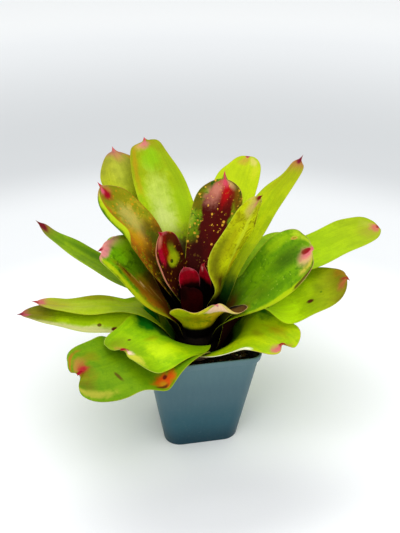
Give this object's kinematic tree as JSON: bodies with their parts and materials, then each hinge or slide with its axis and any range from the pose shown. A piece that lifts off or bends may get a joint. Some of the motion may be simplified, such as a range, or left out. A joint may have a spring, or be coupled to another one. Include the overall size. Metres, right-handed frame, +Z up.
{
  "type": "potted bromeliad",
  "caption": "Tank bromeliad, a rosette of broad strap leaves with pink tips round a dark red heart, growing in potting mix in a square tapered plastic nursery pot.",
  "frame": {"origin": "middle of the pot's underside, where the plant's axis meets the table", "axes": "+Z up along the plant's axis; X and Y square to the pot's sides; -Y toward the side whose leaves are lowest and shortest"},
  "size_m": [0.2986, 0.2008, 0.2219],
  "materials": {
    "pot_plastic": "satin slate-blue polypropylene",
    "potting_mix": "rough damp bark and peat",
    "stem_tissue": "dry fibrous plant tissue",
    "green_leaf": "waxy lime-green leaf with pink tip and brown spots",
    "mottled_leaf": "waxy leaf mottled green, yellow and maroon",
    "red_leaf": "glossy crimson young leaf"
  },
  "bodies": {
    "root": {"pot": "pot_plastic", "soil": "potting_mix", "stem": "stem_tissue", "outer_leaf_1": "green_leaf", "outer_leaf_2": "green_leaf", "outer_leaf_3": "green_leaf", "outer_leaf_4": "green_leaf", "outer_leaf_5": "green_leaf", "outer_leaf_6": "green_leaf", "outer_leaf_7": "green_leaf", "outer_leaf_8": "green_leaf", "middle_leaf_1": "green_leaf", "middle_leaf_2": "green_leaf", "middle_leaf_3": "green_leaf", "middle_leaf_4": "green_leaf", "middle_leaf_5": "green_leaf", "middle_leaf_6": "green_leaf", "middle_leaf_7": "green_leaf", "middle_leaf_8": "green_leaf", "inner_leaf_1": "mottled_leaf", "inner_leaf_2": "mottled_leaf", "inner_leaf_3": "mottled_leaf", "inner_leaf_4": "mottled_leaf", "inner_leaf_5": "mottled_leaf", "inner_leaf_6": "mottled_leaf", "heart_leaf_1": "red_leaf", "heart_leaf_2": "red_leaf", "heart_leaf_3": "red_leaf", "heart_leaf_4": "red_leaf"}
  },
  "joints": []
}
